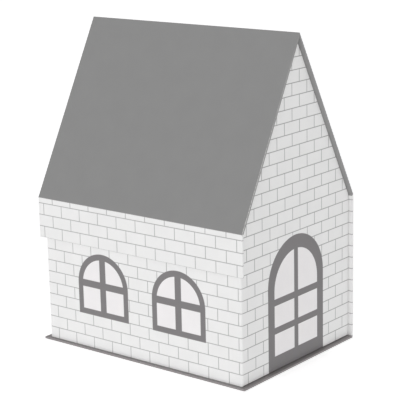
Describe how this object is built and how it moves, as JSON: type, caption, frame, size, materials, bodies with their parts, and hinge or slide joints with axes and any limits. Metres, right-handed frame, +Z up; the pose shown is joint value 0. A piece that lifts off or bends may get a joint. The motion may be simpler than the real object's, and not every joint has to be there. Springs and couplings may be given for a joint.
{
  "type": "house-shaped storage box",
  "caption": "Rigid storage box shaped like a gabled house: an open tray in a book-style wrapped cover whose roof slope lifts at the ridge, with a magnetic flap along the eave.",
  "frame": {"origin": "middle of the base panel's underside, on the surface that the box stands on", "axes": "+Z up; +Y along the ridge, away from the gable with the door; +X across the house, away from the flap"},
  "size_m": [0.22, 0.307, 0.385],
  "materials": {
    "grey_paper": "matt printed grey",
    "printed_paper": "matt white with printed grey brick lines",
    "lining_paper": "uncoated off-white",
    "greyboard": "raw greyboard",
    "stay_tape": "brown stay tape",
    "plated_steel": "plated"
  },
  "bodies": {
    "box": {"cover_base_board": "greyboard", "cover_base_wrap": "grey_paper", "base_crease": "grey_paper", "cover_right_wall_board": "greyboard", "cover_right_wall_wrap": "printed_paper", "right_eave_crease": "grey_paper", "cover_right_roof_board": "greyboard", "cover_right_roof_wrap": "grey_paper", "ridge_crease": "grey_paper", "tray_floor_board": "greyboard", "tray_left_wall_board": "greyboard", "tray_right_wall_board": "greyboard", "tray_front_gable_board": "greyboard", "tray_rear_gable_board": "greyboard", "tray_right_slope_board": "greyboard", "tray_printed_wrap": "printed_paper", "corner_stay_front_left": "stay_tape", "corner_stay_rear_left": "stay_tape", "corner_stay_front_right": "stay_tape", "corner_stay_rear_right": "stay_tape", "tray_steel_disc_front": "plated_steel", "tray_steel_disc_rear": "plated_steel", "tray_floor_lining": "lining_paper", "tray_left_wall_lining": "lining_paper", "tray_right_wall_lining": "lining_paper", "tray_front_gable_lining": "lining_paper", "tray_rear_gable_lining": "lining_paper", "tray_right_slope_lining": "lining_paper"},
    "left_roof": {"cover_left_roof_board": "greyboard", "cover_left_roof_wrap": "grey_paper", "cover_left_roof_lining": "lining_paper", "left_eave_crease": "grey_paper"},
    "flap": {"cover_flap_board": "greyboard", "cover_flap_wrap": "printed_paper", "cover_flap_lining": "lining_paper", "flap_magnet_front": "plated_steel", "flap_magnet_rear": "plated_steel"}
  },
  "joints": [
    {"name": "ridge_hinge", "type": "hinge", "parent": "box", "child": "left_roof", "pos_m": [0, 0, 0.385], "axis": [0, 1, 0], "range_deg": [0, 285]},
    {"name": "flap_hinge", "type": "hinge", "parent": "left_roof", "child": "flap", "pos_m": [-0.11, 0, 0.179], "axis": [0, 1, 0], "range_deg": [0, 200]}
  ]
}
